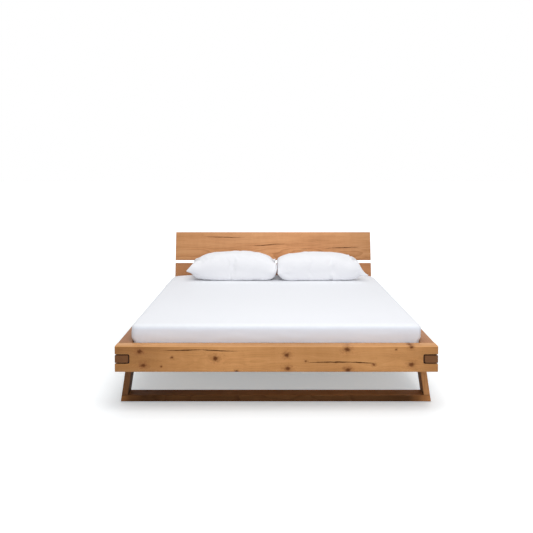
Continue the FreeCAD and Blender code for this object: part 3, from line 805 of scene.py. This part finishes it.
for end in ("front", "rear"):
    dress(end + "_leg_bar", bar_oak)
    for side in ("left", "right"):
        dress(f"{end}_post_{side}", post_oak[side])


# The headboard: two oak planks laid back against the struts, with a slit between them. The
# upper one has three short cracks, and both are lighter and darker along their length, partly
# as their own tone and partly as painted light and shade.

BOARD_EASE = 0.003
BOARD_COLOURS = {
    "headboard_upper_plank": ((0.76, 0.402, 0.188, 1), (0.65, 0.306, 0.126, 1), (0.41, 0.168, 0.060, 1)),
    "headboard_lower_plank": ((0.62, 0.300, 0.135, 1), (0.52, 0.228, 0.092, 1), (0.34, 0.130, 0.046, 1)),
}
LEAN = math.radians(11.6)
PLANK_THICK = 0.040
# Heights along the slope, from the foot of the headboard
PLANKS = {"headboard_lower_plank": (0.0103, 0.2153), "headboard_upper_plank": (0.2413, 0.5003)}
# Lighter and darker along each plank: partly the oak's own tone and partly painted light and shade.
BOARD_TONES = {
    "headboard_upper_plank": ((-0.9, 0.90), (-0.3, 0.955), (0.15, 1.05), (0.5, 0.97), (0.9, 0.79)),
    "headboard_lower_plank": ((-0.90, 0.86), (0.0, 0.93), (0.90, 0.92)),
}
UPPER_CRACKS = (
    (((-0.650, 0.4565), (-0.52, 0.4540), (-0.40, 0.4515), (-0.250, 0.4520)), 0.0064, 0.018),
    (((-0.190, 0.3770), (-0.10, 0.3750), (-0.01, 0.3850), (0.140, 0.3930)), 0.0068, 0.018),
    (((0.470, 0.3510), (0.58, 0.3530), (0.72, 0.3590), (0.820, 0.3600)), 0.0066, 0.016),
    (((0.250, 0.3420), (0.345, 0.3440)), 0.0036, 0.008),
)
LOWER_CRACKS = ((((-0.30, 0.12), (-0.10, 0.125), (0.15, 0.12)), 0.004, 0.012),)

rail_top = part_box("front_beam")[1].z
board_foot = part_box("head_beam")[0].y
for label, (start, stop) in PLANKS.items():
    upper = label == "headboard_upper_plank"
    low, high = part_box(label)
    half = (high.x - low.x) / 2
    planks_oak = timber_material(
        "oak_" + label, *BOARD_COLOURS[label], seed=41.0 if upper else 46.0, tones=BOARD_TONES[label],
        warmth=0.15, arris_wear_and_light=0.5, Ring=0.0070, Rings=0.36, Fibres=0.50, Clouds=0.9, Wander=0.012,
        Across=0.30, Through=0.14,
    )
    outline = [(half, start), (half, stop), (-half, stop), (-half, start)]
    board = cut_timber(label + "_board", outline, PLANK_THICK, BOARD_EASE, planks_oak)
    cracks = UPPER_CRACKS if upper else LOWER_CRACKS
    open_cracks(board, [crack + (FRONT_FACE,) for crack in cracks], crack_shade_oak)
    board.rotation_euler.x = -LEAN
    board.location = (0, board_foot, rail_top)
    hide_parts(label)
    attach(board, "frame")

strut_oak = timber_material(
    "oak_strut", OAK_PALE, OAK_MID, OAK_DEEP, grain="Z", seed=51.0, Ring=0.005, Rings=0.45,
    Fibres=0.5, Clouds=0.6, Wander=0.01, Across=0.4, Through=1.2,
)
for side in ("left", "right"):
    dress("headboard_strut_" + side, strut_oak)


# The slatted base: planed pine slats screwed to cleats along the side beams, over a centre
# beam that stands on a post. All of it is bare wood, and shows from below only.

PINE = ((0.80, 0.585, 0.330, 1), (0.73, 0.490, 0.245, 1), (0.56, 0.315, 0.125, 1))
PINE_FIGURE = {"rough": (0.55, 0.7), "Rings": 0.55, "Fibres": 0.25, "Clouds": 0.4}

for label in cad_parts:
    if label.startswith("slat_") and label[5:].isdigit():
        number = int(label[5:])
        dress(label, timber_material(
            "pine_" + label, *(times(colour, 1 - 0.05 * (number % 3)) for colour in PINE),
            seed=60.0 + number, Ring=0.0045, Across=0.22, Through=number * 0.13, **PINE_FIGURE,
        ))
pine_long = timber_material(
    "pine_cleats", *PINE, grain="Y", seed=80.0, Ring=0.004, Across=0.33, Through=0.5, **PINE_FIGURE,
)
for label in ("slat_cleat_left", "slat_cleat_right", "centre_beam"):
    dress(label, pine_long)
dress("centre_post", timber_material(
    "pine_post", *PINE, grain="Z", seed=83.0, Ring=0.004, Across=0.1, Through=0.1, **PINE_FIGURE,
))


# The fittings: folded steel brackets, hangers and leg plates with a black powder coat, zinc
# plated wood screws, and felt glides stuck under the bars.

POWDER_BLACK = (0.018, 0.018, 0.020, 1)
ZINC_PALE = (0.62, 0.60, 0.55, 1)
ZINC_DULL = (0.42, 0.41, 0.38, 1)
FELT_PALE = (0.150, 0.115, 0.085, 1)
FELT_DARK = (0.070, 0.052, 0.040, 1)

powder = mottled_material(
    "black_powder_coat", POWDER_BLACK, times(POWDER_BLACK, 1.8), 1.0, (900,) * 3, 2, 0.5,
    (0.42, 0.58), relief=(0.25, 0.0003),
)
zinc = mottled_material(
    "zinc_plating", ZINC_PALE, ZINC_DULL, 2.0, (260,) * 3, 3, 0.6, (0.28, 0.46), Metallic=1.0,
)
felt = mottled_material(
    "pressed_felt", FELT_PALE, FELT_DARK, 3.0, (1400,) * 3, 4, 0.7, 0.95, relief=(0.6, 0.0006),
    **{"Sheen Weight": 0.3},
)

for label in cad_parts:
    if label.endswith("_screws"):
        dress(label, zinc)
    elif "bracket" in label or "hanger" in label or "plate" in label:
        dress(label, powder)
dress("felt_glides", felt)


# The mattress: a foam block of 1.8 by 2 m in a knitted cover with rounded corners and rims.
# Only its underside shows, between the slats, because a sheet covers the rest.

TICKING_PALE = (0.74, 0.74, 0.73, 1)
TICKING_GREY = (0.60, 0.60, 0.61, 1)
SHEET_EASE = 0.0025
MATTRESS_CORNER = 0.030
MATTRESS_RIM = 0.028
MATTRESS_STEPS = (60, 66, 22)
CLOTH_ANGLE = 60
# How far the mattress swells over the rails, draws in at its foot and sinks at its head corners
SWELL, SWELL_FROM, SWELL_FULL = 0.012, -0.002, 0.028
DRAW_IN = 0.006
SINK = 0.012
SIDE_REACH = 0.15
END_REACH = 0.10


def to_round(a, b):
    """Moves a point of a square corner, a and b from the middle of its arc, onto the disc."""
    reach = math.hypot(a, b)
    if a <= 0 or b <= 0 or reach == 0:
        return a, b
    full = max(a, b) / reach
    return a * full, b * full


def rounded_block(low, high, corner, rim, steps):
    """A closed block with rounded upright corners and rims, in an even grid."""
    middle = (low + high) / 2
    half = (high - low) / 2
    block = bmesh.new()
    verts = {}

    def point(i, j, k):
        key = (i, j, k)
        if key not in verts:
            co = Vector([-1 + 2 * index / count for index, count in zip(key, steps)])
            co = Vector([part * size for part, size in zip(co, half)])
            across = max(abs(co.x) - (half.x - corner), 0)
            along = max(abs(co.y) - (half.y - corner), 0)
            a, b = to_round(across, along)
            x = math.copysign(abs(co.x) - across + a, co.x)
            y = math.copysign(abs(co.y) - along + b, co.y)
            # how far the point is from the upright wall, and the way out to it
            if across > 0 and along > 0:
                out = Vector((math.copysign(a, co.x), math.copysign(b, co.y)))
                from_wall = corner - out.length
                out = out.normalized() if out.length > 1e-9 else Vector((0, 0))
            else:
                to_x, to_y = half.x - abs(x), half.y - abs(y)
                from_wall = min(to_x, to_y)
                out = Vector((math.copysign(to_x < to_y, x), math.copysign(to_x >= to_y, y)))
            a = rim - from_wall
            b = rim - (half.z - abs(co.z))
            if a > 0 and b > 0:
                inner, upper = to_round(a, b)
                x += out.x * (inner - a)
                y += out.y * (inner - a)
                co.z = math.copysign(abs(co.z) + upper - b, co.z)
            verts[key] = block.verts.new(middle + Vector((x, y, co.z)))
        return verts[key]

    def quad(*corners):
        block.faces.new([point(*corner) for corner in corners])

    nx, ny, nz = steps
    for i in range(nx):
        for j in range(ny):
            quad((i, j, nz), (i + 1, j, nz), (i + 1, j + 1, nz), (i, j + 1, nz))
            quad((i, j, 0), (i, j + 1, 0), (i + 1, j + 1, 0), (i + 1, j, 0))
    for k in range(nz):
        for i in range(nx):
            quad((i, 0, k), (i + 1, 0, k), (i + 1, 0, k + 1), (i, 0, k + 1))
            quad((i + 1, ny, k), (i, ny, k), (i, ny, k + 1), (i + 1, ny, k + 1))
        for j in range(ny):
            quad((0, j + 1, k), (0, j, k), (0, j, k + 1), (0, j + 1, k + 1))
            quad((nx, j, k), (nx, j + 1, k), (nx, j + 1, k + 1), (nx, j, k + 1))
    return block


weave, given, made = group("weave", {"Place": 0, "Thread": 0.001}, ("Threads", "Slubs"))
turns = calc("DIVIDE", math.pi, given["Thread"])
fine = node(weave, "VectorMath", {0: given["Place"], "Scale": turns}, operation="SCALE").outputs[0]
axes = split(fine)
waves = [calc("ABSOLUTE", calc("SINE", axes[letter])) for letter in "XYZ"]
threads = calc("MULTIPLY", calc("MULTIPLY", waves[0], waves[1]), waves[2])
slubs = stretched_noise(given["Place"], 5.0, (30, 400, 400), 3, 0.6)
wire(weave, made.inputs, {"Threads": threads, "Slubs": slubs})


def cloth_material(name, pale, shaded, thread, bump, upright=(1, 1, 1, 1)):
    """Woven cloth with a thread of that width, a little uneven in tone and tinted on its upright faces, as
    painted shade.
    """
    material, tree = blank_material(name)
    coordinates = node(tree, "TexCoord").outputs
    place = coordinates["Object"]
    found = use_group(tree, weave, {"Place": place, "Thread": thread})
    uneven = stretched_noise(place, 6.0, (3, 3, 3), 2)
    tone = calc("MULTIPLY_ADD", uneven, 0.5, calc("MULTIPLY", found["Slubs"], 0.5))
    colour = mixed(tone, pale, shaded)
    # Painted shade: the upright faces are tinted by the upright colour.
    lying = calc("ABSOLUTE", split(coordinates["Normal"])["Z"])
    side_shade_mask = grade(lying, 0.1, 0.8, 1.0, 0.0)
    colour = mixed(side_shade_mask, colour, mixed(1.0, colour, upright, "MULTIPLY"))
    height = calc("ADD", found["Threads"], calc("MULTIPLY", found["Slubs"], 0.6))
    set_surface(tree, {
        "Base Color": colour, "Roughness": 0.85, "Normal": bumped(height, bump, 0.0004),
        "Sheen Weight": 0.25, "Sheen Roughness": 0.5, "Specular IOR Level": 0.2,
    })
    return material


def smooth_step(value, start, stop):
    """0 at the start, 1 at the stop and smooth between."""
    share = min(max((value - start) / (stop - start), 0), 1)
    return share * share * (3 - 2 * share)


def slacken(block, low, high):
    """Lets a block swell over the rails, draw in at its foot and sink at its head corners."""
    for vert in block.verts:
        co = vert.co
        above = smooth_step(co.z, rail_top + SWELL_FROM, rail_top + SWELL_FULL)
        by_side = smooth_step(abs(co.x), high.x - SIDE_REACH, high.x)
        lower = 1 - smooth_step(co.z, rail_top - 0.03, high.z)
        by_foot = smooth_step(-co.y, -low.y - END_REACH, -low.y)
        by_corner = math.hypot(high.x - abs(co.x), high.y - co.y) / END_REACH
        co.x += math.copysign(SWELL * above * by_side, co.x)
        co.y += DRAW_IN * lower * by_foot
        co.z -= SINK * above * math.exp(-(by_corner**2))


low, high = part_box("mattress")
inside = Vector((SHEET_EASE,) * 3)
block = rounded_block(low + inside, high - inside, MATTRESS_CORNER, MATTRESS_RIM, MATTRESS_STEPS)
slacken(block, low, high)
ticking = cloth_material("mattress_ticking", TICKING_PALE, TICKING_GREY, 0.003, 0.5)
mattress = settle(link("mattress_block", as_mesh("mattress_block", block), ticking), CLOTH_ANGLE)
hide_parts("mattress")
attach(mattress, "mattress")


# The fitted sheet: white cotton, drawn over the mattress and held by a gathered hem under it.
# It is stretched on top, slack along the sides and puckers at the corners.

SHEET_PALE = (0.845, 0.86, 0.90, 1)
SHEET_SHADED = (0.82, 0.835, 0.875, 1)
# The sheet's upright sides are tinted cooler than its top, as painted shade.
SHEET_SIDE_SHADE = (0.96, 1.0, 1.06, 1)
SHEET_THICK = 0.0012
THREAD = 0.0011
WEAVE_RELIEF = 0.25
SHEET_HEM = 0.085
SHEET_STEPS = (150, 166, 22)
PUCKER_REACH = 0.16

cover = rounded_block(low, high, MATTRESS_CORNER, MATTRESS_RIM, SHEET_STEPS)
middle = (low + high) / 2
under = []
for face in cover.faces:
    spot = face.calc_center_median()
    from_rim = min(high.x - abs(spot.x), spot.y - low.y, high.y - spot.y)
    if spot.z < low.z + 0.001 and from_rim > SHEET_HEM:
        under.append(face)
bmesh.ops.delete(cover, geom=under, context="FACES")
slacken(cover, low, high)
cover.normal_update()


def sheet_crease(co):
    """How far the sheet stands out from the mattress at a point, at most about 2 mm."""
    on_side = 1 - min(max((co.z - (high.z - 0.05)) / 0.05, 0), 1)
    corner = math.hypot(high.x - abs(co.x), min(co.y - low.y, high.y - co.y))
    by_corner = math.exp(-(corner / PUCKER_REACH) ** 2)
    run = co.x + co.y * math.copysign(1, co.x * (co.y - middle.y))
    pucker = math.sin(run * 150 + 5 * noise.noise(co * 9)) * by_corner * on_side
    drawn = noise.noise(Vector((co.x * 9, co.y * 9, co.z * 30))) * on_side
    loose = noise.noise(Vector((co.x * 2.2, co.y * 2.2, 7)))
    lines = noise.noise(Vector((co.x * 3 + co.y * 7, co.y * 2 - co.x * 5, 2)))
    return 0.0013 * pucker + 0.0012 * drawn + 0.0009 * loose + 0.0005 * lines


for vert in cover.verts:
    vert.co += vert.normal * sheet_crease(vert.co)
cotton = cloth_material("white_cotton_sheet", SHEET_PALE, SHEET_SHADED, THREAD, WEAVE_RELIEF, SHEET_SIDE_SHADE)
cloth = link("fitted_sheet", as_mesh("fitted_sheet", cover), cotton)
skin = cloth.modifiers.new("thickness", "SOLIDIFY")
skin.thickness, skin.offset = SHEET_THICK, -1
settle(cloth, CLOTH_ANGLE)
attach(cloth, "mattress")


# The pillows: two feather pillows in plain white cases, side by side against the headboard.
# Each is sewn from two flat panels and blown up as cloth, so its corners stand out as ears.

PILLOW_PALE = (0.85, 0.855, 0.885, 1)
PILLOW_SHADED = (0.82, 0.825, 0.86, 1)
PANEL_WIDTH, PANEL_DEPTH = 0.86, 0.50
PANEL_STEPS = (66, 38)
FILLING_FRAMES = 40
FILLING = {
    "quality": 7, "mass": 0.25, "tension_stiffness": 30, "compression_stiffness": 12,
    "shear_stiffness": 8, "bending_stiffness": 0.35, "use_pressure": True, "uniform_pressure_force": 4,
}
# How much the underside gives where it lies on the sheet, and how far its weight flattens it
REST_SOFTNESS = 0.004
REST_WEIGHT = 0.015
# The crown line is read at this many places, so many of them to half a pillow
CROWN_PLACES = 50
HALF_PLACES = 24

case_cloth = cloth_material("white_pillowcase", PILLOW_PALE, PILLOW_SHADED, THREAD, WEAVE_RELIEF)


def sewn_panels(seed):
    """Two flat panels joined along their rims, already a little parted in the middle."""
    nx, ny = PANEL_STEPS
    case = bmesh.new()
    seam = {}
    for way in (1, -1):
        layer = {}
        for i in range(nx + 1):
            for j in range(ny + 1):
                u, v = -1 + 2 * i / nx, -1 + 2 * j / ny
                rim = i in (0, nx) or j in (0, ny)
                if rim and seam:
                    layer[i, j] = seam[i, j]
                    continue
                part = 0.05 * (1 - u**2) ** 0.5 * (1 - v**2) ** 0.5
                part *= 1 + 0.35 * noise.noise(Vector((u * 3, v * 2, seed)))
                place = (u * PANEL_WIDTH / 2, v * PANEL_DEPTH / 2, way * part)
                layer[i, j] = case.verts.new(place)
        seam = layer
        for i in range(nx):
            for j in range(ny):
                ring = [layer[i, j], layer[i + 1, j], layer[i + 1, j + 1], layer[i, j + 1]]
                case.faces.new(ring if way > 0 else reversed(ring))
    return as_mesh("pillow_case", case)


def blow_up(pillow):
    """Fills the case with air until its cloth is taut, and keeps that shape."""
    scene = bpy.context.scene
    cloth = pillow.modifiers.new("filling", "CLOTH")
    for name, setting in FILLING.items():
        setattr(cloth.settings, name, setting)
    cloth.settings.effector_weights.gravity = 0
    cloth.collision_settings.use_collision = False
    cloth.point_cache.frame_start, cloth.point_cache.frame_end = 1, FILLING_FRAMES
    for moment in range(1, FILLING_FRAMES + 1):
        scene.frame_set(moment)
    settle(pillow, 180)
    scene.frame_set(1)


def fuller(a, b, slack, full):
    """Moves a point of an end, a along and b up, from a slack outline to a rounder one."""
    if a <= 0 or b <= 0:
        return a, b
    share = (a**slack + b**slack) ** (1 / slack) / (a**full + b**full) ** (1 / full)
    return a * share, b * share


def read_profile(profile, x):
    """The share of the height at x, from points of x and share."""
    for (x0, share0), (x1, share1) in zip(profile, profile[1:]):
        if x <= x1:
            return share0 + (share1 - share0) * max(x - x0, 0) / (x1 - x0)
    return profile[-1][1]


def crown_line(placed, picks):
    """The highest point of the picked vertices over each place along the pillow."""
    tops = [0.001] * CROWN_PLACES
    for x, y, above in placed:
        if picks(y):
            spot = min(max(round((x + 1) * HALF_PLACES), 0), CROWN_PLACES - 1)
            tops[spot] = max(tops[spot], above)
    near = [tops[max(spot - 1, 0) : spot + 2] for spot in range(CROWN_PLACES)]
    return [sum(heights) / len(heights) for heights in near]


def seat_pillow(pillow, low, high, inner, ear, shoulder, front, back, folds, seed):
    """Brings the filled case to its size, rests it on the sheet and gives it its outline: round
    where it meets the other pillow, drawn in beside the ears at the other end."""
    points = [vert.co.copy() for vert in pillow.data.vertices]
    sizes = [max(parts) - min(parts) for parts in zip(*points)]
    wide, deep, tall = high - low
    crown, belly = tall * (1 - SEAM_SHARE), tall * SEAM_SHARE
    placed = []
    for point in points:
        x, y, z = (2 * part / size for part, size in zip(point, sizes))
        up = abs(z)
        # the inner end is full where it meets the other pillow, and the underside at the sides
        if x * inner > 0.5:
            along, up = fuller((x * inner - 0.5) / 0.5, up, 1.35, shoulder if z > 0 else 1.9)
            x = inner * (0.5 + 0.5 * min(along * PRESSED, 1.0))
        if z < 0 and abs(y) > 0.3:
            along, up = fuller((abs(y) - 0.3) / 0.7, up, 1.8, 10.0 if y < 0 else 4.0)
            y = math.copysign(0.3 + 0.7 * along, y)
        z = math.copysign(up, z)
        # the outer end is drawn in between its ears
        outer = smooth_step(-x * inner, 0.35, 1.0)
        by_front, by_back = smooth_step(-y, 0.45, 1.0), smooth_step(y, 0.45, 1.0)
        x += inner * ear * outer * (1 - by_front) * (1 - 0.5 * by_back)
        # the case is creased, and its weight flattens the underside on the sheet
        rise = z * crown if z > 0 else z * (belly + REST_SOFTNESS)
        slack = 0.004 * noise.noise(Vector((x * 6 - y * 2 + z * 3, y * 3, seed)))
        spot = Vector((x * 15 + y * 7 - z * 5, y * 3 + z * 3, seed + 5))
        slack += folds * (1 - 0.7 * by_back) * (noise.noise(spot) + 0.7 * noise.noise(2.2 * spot))
        above = rise + belly + slack * (1 - by_front) * (1 - 0.75 * smooth_step(z, 0.4, 0.95))
        above -= REST_WEIGHT * (1 - smooth_step(above, 0, 2.5 * REST_WEIGHT))
        if above < REST_SOFTNESS:
            above = REST_SOFTNESS * math.exp((above - REST_SOFTNESS) / REST_SOFTNESS)
        placed.append((x, y, above))
    # each place is raised or lowered until its crown line follows the profiles
    front_tops = crown_line(placed, lambda y: y < 0.1)
    back_tops = crown_line(placed, lambda y: y > -0.1)
    for vert, (x, y, above) in zip(pillow.data.vertices, placed):
        at = min(max((x + 1) * HALF_PLACES, 0), CROWN_PLACES - 1.001)
        spot, share = int(at), at - int(at)
        scales = []
        for profile, tops in ((front, front_tops), (back, back_tops)):
            top = tops[spot] * (1 - share) + tops[spot + 1] * share
            scales.append(read_profile(profile, x) * tall / top)
        behind = smooth_step(y, -0.3, 0.3)
        vert.co = (x * wide / 2, y * deep / 2, above * (scales[0] * (1 - behind) + scales[1] * behind))
    pillow.location = ((low.x + high.x) / 2, (low.y + high.y) / 2, low.z)


SEAM_SHARE = 0.378
PRESSED = 1.05
# The crown of each: places along the pillow and shares of its height
LEFT_CROWN = (
    (-0.76, 0.766), (-0.69, 0.833), (-0.62, 0.883), (-0.55, 0.935), (-0.42, 0.97), (-0.28, 0.99),
    (-0.01, 1.02), (0.19, 1.025), (0.40, 1.007), (0.60, 0.965), (0.74, 0.90), (0.87, 0.79),
    (0.93, 0.66), (1.0, 0.60),
)
RIGHT_CROWN = (
    (-1.0, 0.74), (-0.96, 0.765), (-0.89, 0.835), (-0.76, 0.911), (-0.62, 0.95), (-0.42, 0.982),
    (-0.20, 1.0), (0.06, 0.98), (0.26, 0.97), (0.40, 0.943), (0.53, 0.895), (0.64, 0.84), (0.71, 0.785),
)
# For each pillow: the end that meets the other one, how far the other end is drawn in, how
# square the top of the inner end is, its crown along the front and the back, how deep the
# folds of its case are, and their seed
PILLOW_SHAPES = {
    "left": (
        1, 0.06, 3.4, ((-1.0, 0.40), (-0.95, 0.45), (-0.91, 0.53), (-0.86, 0.66)) + LEFT_CROWN,
        ((-1.0, 0.44), (-0.93, 0.52), (-0.87, 0.66)) + LEFT_CROWN, 0.0140, 2.0,
    ),
    "right": (
        -1, 0.19, 8.0, RIGHT_CROWN + ((0.77, 0.71), (0.82, 0.52), (0.87, 0.38), (0.93, 0.28), (1.0, 0.20)),
        RIGHT_CROWN + ((0.77, 0.71), (0.83, 0.61), (0.90, 0.52), (1.0, 0.45)), 0.0058, 9.0,
    ),
}
for side, (inner, ear, shoulder, front, back, folds, seed) in PILLOW_SHAPES.items():
    label = "pillow_" + side
    low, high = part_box(label)
    pillow = link(label + "_case", sewn_panels(seed), case_cloth)
    blow_up(pillow)
    seat_pillow(pillow, low, high, inner, ear, shoulder, front, back, folds, seed)
    smooth = pillow.modifiers.new("smooth", "SUBSURF")
    smooth.levels = smooth.render_levels = 1
    settle(pillow, 180)
    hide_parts(label)
    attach(pillow, label)
